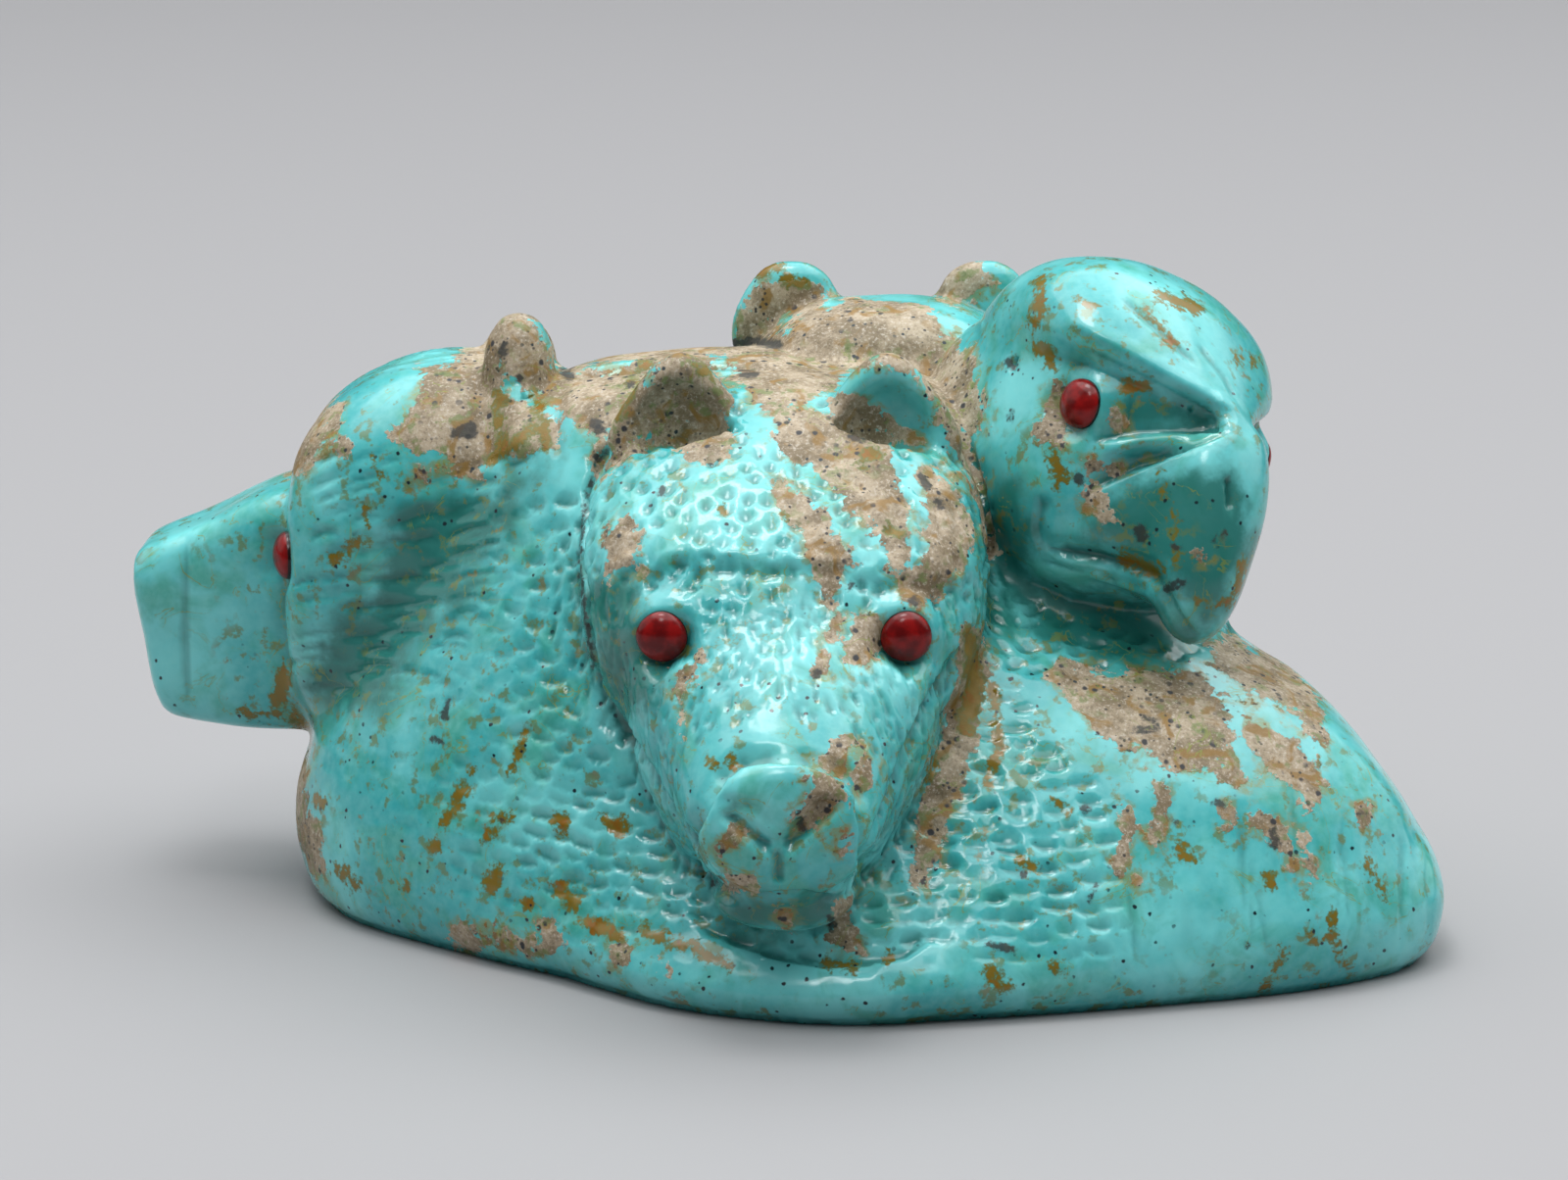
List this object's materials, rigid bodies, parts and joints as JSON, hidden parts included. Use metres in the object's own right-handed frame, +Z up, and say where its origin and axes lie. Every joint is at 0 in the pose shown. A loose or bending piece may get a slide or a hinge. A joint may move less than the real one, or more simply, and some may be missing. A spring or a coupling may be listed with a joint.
{
  "type": "stone animal carving",
  "caption": "Small polished turquoise carving of a bear, a wolf, an eagle and a mountain lion that share a low rounded body, with inlaid coral bead eyes.",
  "frame": {"origin": "on the flat underside, below the middle of the bear's head", "axes": "+X to the right along the body, +Y to the back, away from the bear's face, +Z up"},
  "size_m": [0.0663, 0.0508, 0.0336],
  "materials": {
    "turquoise": "polished",
    "coral": "polished"
  },
  "bodies": {
    "root": {"turquoise_carving": "turquoise", "bear_left_eye": "coral", "bear_right_eye": "coral", "wolf_left_eye": "coral", "wolf_right_eye": "coral", "eagle_left_eye": "coral", "eagle_right_eye": "coral", "lion_left_eye": "coral", "lion_right_eye": "coral"}
  },
  "joints": []
}
